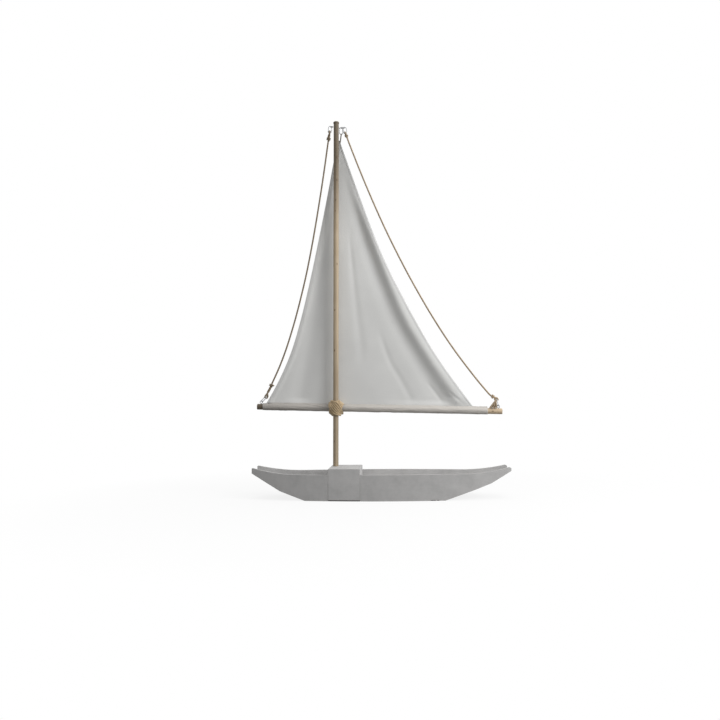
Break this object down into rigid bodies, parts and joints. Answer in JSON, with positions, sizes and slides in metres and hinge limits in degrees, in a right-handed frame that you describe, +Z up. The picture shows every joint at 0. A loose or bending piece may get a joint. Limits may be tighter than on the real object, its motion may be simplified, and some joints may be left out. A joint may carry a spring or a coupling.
{
  "type": "decorative sailing boat",
  "caption": "Decorative wooden sailing boat: open flat bottomed hull, mast in a block, boom lashed to it, cloth sail, rope stays on snap hooks.",
  "frame": {"origin": "on the floor, at the middle of the hull's length and width", "axes": "+X along the hull towards the long end of the boom, -Y to the front where the mast block comes out through the side, +Z up"},
  "size_m": [1.53, 0.4, 2.35],
  "materials": {
    "hull_paint": "matt grey white paint on wood",
    "dark_pad": "matt",
    "pine": "sanded, bare",
    "cap_wood": "sanded, bare, end grain",
    "eye_steel": "zinc plated",
    "hook_steel": "polished",
    "jute": "laid rope",
    "sailcloth": "plain weave"
  },
  "bodies": {
    "hull": {"bottom_plank": "hull_paint", "foot_strip_narrow": "dark_pad", "foot_strip_wide": "dark_pad", "mast_block": "hull_paint", "mast_block_base_plate": "dark_pad", "ramp_plank_left_lower": "hull_paint", "ramp_plank_left_upper": "hull_paint", "ramp_plank_right_lower": "hull_paint", "ramp_plank_right_middle": "hull_paint", "ramp_plank_right_upper": "hull_paint", "side_board_back": "hull_paint", "side_board_front_left": "hull_paint", "side_board_front_right": "hull_paint"},
    "rig": {"boom": "pine", "boom_lashing": "jute", "knot_stay_left_bottom": "jute", "knot_stay_left_top": "jute", "knot_stay_right_bottom": "jute", "knot_stay_right_top": "jute", "mast": "pine", "mast_cap": "cap_wood", "sail": "sailcloth", "sail_head_strap": "sailcloth", "sail_sleeve": "sailcloth", "screw_eye_boom_left": "eye_steel", "screw_eye_boom_right": "eye_steel", "screw_eye_mast_left": "eye_steel", "screw_eye_mast_right": "eye_steel", "snap_hook_sail_head": "hook_steel", "snap_hook_stay_left_bottom": "hook_steel", "snap_hook_stay_left_top": "hook_steel", "snap_hook_stay_right_bottom": "hook_steel", "snap_hook_stay_right_top": "hook_steel", "stay_left": "jute", "stay_right": "jute"},
    "gate_sail_head": {"hook_gate_sail_head": "hook_steel"},
    "gate_stay_left_bottom": {"hook_gate_stay_left_bottom": "hook_steel"},
    "gate_stay_left_top": {"hook_gate_stay_left_top": "hook_steel"},
    "gate_stay_right_bottom": {"hook_gate_stay_right_bottom": "hook_steel"},
    "gate_stay_right_top": {"hook_gate_stay_right_top": "hook_steel"}
  },
  "joints": [
    {"name": "mast_turn", "type": "hinge", "parent": "hull", "child": "rig", "pos_m": [-0.275, 0, 0.106], "axis": [0, 0, 1], "continuous": true},
    {"name": "gate_stay_left_top_open", "type": "hinge", "parent": "rig", "child": "gate_stay_left_top", "pos_m": [-0.30638, 0, 2.29041], "axis": [0, -1, 0], "range_deg": [0, 24], "stiffness_Nm_per_rad": 0.004, "springref_deg": -5.73},
    {"name": "gate_stay_right_top_open", "type": "hinge", "parent": "rig", "child": "gate_stay_right_top", "pos_m": [-0.20745, 0, 2.28601], "axis": [0, -1, 0], "range_deg": [0, 24], "stiffness_Nm_per_rad": 0.004, "springref_deg": -5.73},
    {"name": "gate_sail_head_open", "type": "hinge", "parent": "rig", "child": "gate_sail_head", "pos_m": [-0.25331, 0.0055, 2.28355], "axis": [0, 1, 0], "range_deg": [0, 24], "stiffness_Nm_per_rad": 0.004, "springref_deg": -5.73},
    {"name": "gate_stay_left_bottom_open", "type": "hinge", "parent": "rig", "child": "gate_stay_left_bottom", "pos_m": [-0.7224, 0.04873, 0.59831], "axis": [-0.5694, -0.6428, 0.5125], "range_deg": [0, 24], "stiffness_Nm_per_rad": 0.004, "springref_deg": -5.73},
    {"name": "gate_stay_right_bottom_open", "type": "hinge", "parent": "rig", "child": "gate_stay_right_bottom", "pos_m": [0.7093, 0.02824, 0.56467], "axis": [0.9252, 0.2588, 0.2776], "range_deg": [0, 24], "stiffness_Nm_per_rad": 0.004, "springref_deg": -5.73}
  ]
}
